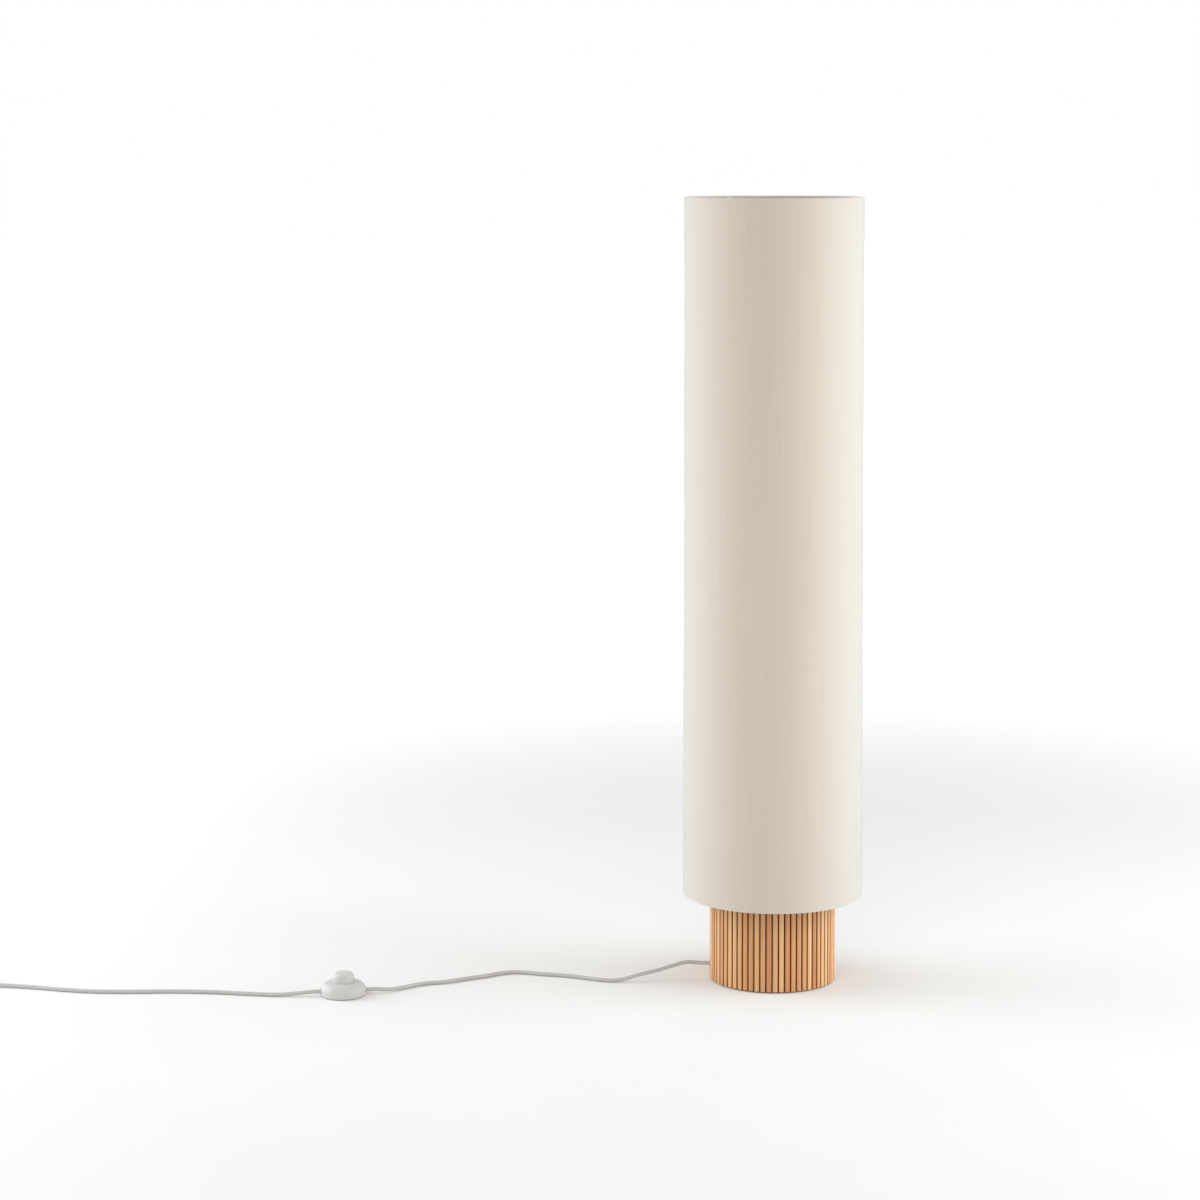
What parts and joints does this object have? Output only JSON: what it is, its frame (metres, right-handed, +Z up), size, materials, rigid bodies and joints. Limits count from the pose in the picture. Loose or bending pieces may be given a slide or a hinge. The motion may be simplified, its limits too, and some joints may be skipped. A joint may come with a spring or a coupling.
{
  "type": "floor lamp",
  "caption": "Tall round column floor lamp: a full-height fabric drum shade over a round base of upright wooden battens, with a cord, a round foot switch and a flat plug.",
  "frame": {"origin": "on the floor, on the lamp's axis, under the felt", "axes": "+Z up along the pole, the front is -Y, and the cord leaves the base towards -X"},
  "size_m": [1.4668, 0.2798, 1.225],
  "materials": {
    "shade_fabric": "woven, matte",
    "shade_liner": "matte",
    "white_steel": "satin",
    "finial": "satin",
    "bare_steel": "machined",
    "oiled_wood": "oiled, grain upright",
    "plain_wood": "sanded",
    "black_steel": "matte",
    "iron": "rough",
    "felt": "felt",
    "grommet": "matte",
    "holder_plastic": "matte",
    "cap_metal": "satin",
    "bulb_glass": "frosted",
    "wire_insulation": "smooth",
    "cord": "smooth, pale grey",
    "switch_shell": "fine grain, pale grey",
    "tie": "smooth",
    "pins": "nickel-plated"
  },
  "bodies": {
    "lamp": {"shade_fabric": "shade_fabric", "shade_liner": "shade_liner", "top_ring": "white_steel", "bottom_ring": "white_steel", "top_spider": "white_steel", "bottom_spider": "white_steel", "pole_tube": "white_steel", "pole_sleeve": "white_steel", "lower_lampholder_bracket": "white_steel", "upper_lampholder_bracket": "white_steel", "finial_nut": "finial", "bottom_plate_screws": "bare_steel", "top_plate_screws": "bare_steel", "ballast_bolts": "bare_steel", "base_clamp_screws": "bare_steel", "set_screws": "bare_steel", "pole_top_stud": "bare_steel", "lampholder_nipples": "bare_steel", "nipple_nuts": "bare_steel", "switch_clamp_screws": "bare_steel", "switch_housing_screws": "bare_steel", "switch_spring": "bare_steel", "wood_battens": "oiled_wood", "base_drum": "plain_wood", "top_plate": "plain_wood", "bottom_plate": "black_steel", "base_cord_clamp": "black_steel", "ballast_weight": "iron", "felt_pad": "felt", "cord_grommet": "grommet", "switch_bushes": "grommet", "switch_feet": "grommet", "plug_strain_relief": "grommet", "lower_lampholder": "holder_plastic", "upper_lampholder": "holder_plastic", "terminal_block": "holder_plastic", "switch_contact_block": "holder_plastic", "switch_cord_clamps": "holder_plastic", "lower_bulb_cap": "cap_metal", "upper_bulb_cap": "cap_metal", "lower_bulb_glass": "bulb_glass", "upper_bulb_glass": "bulb_glass", "lower_lampholder_wires": "wire_insulation", "upper_lampholder_wires": "wire_insulation", "switch_wires": "wire_insulation", "base_lead": "cord", "switch_lead_ends": "cord", "cord_to_switch": "cord", "cord_to_coil": "cord", "cord_coil": "cord", "cord_to_plug": "cord", "switch_base": "switch_shell", "switch_cover": "switch_shell", "plug_body": "switch_shell", "coil_tie": "tie", "plug_pins": "pins"},
    "button": {"switch_button": "switch_shell"}
  },
  "joints": [
    {"name": "switch_press", "type": "slide", "parent": "lamp", "child": "button", "axis": [0, 0, -1], "range_m": [0, 0.003], "stiffness_N_per_m": 1500, "springref_m": -0.002, "deforming": ["switch_spring"]}
  ]
}
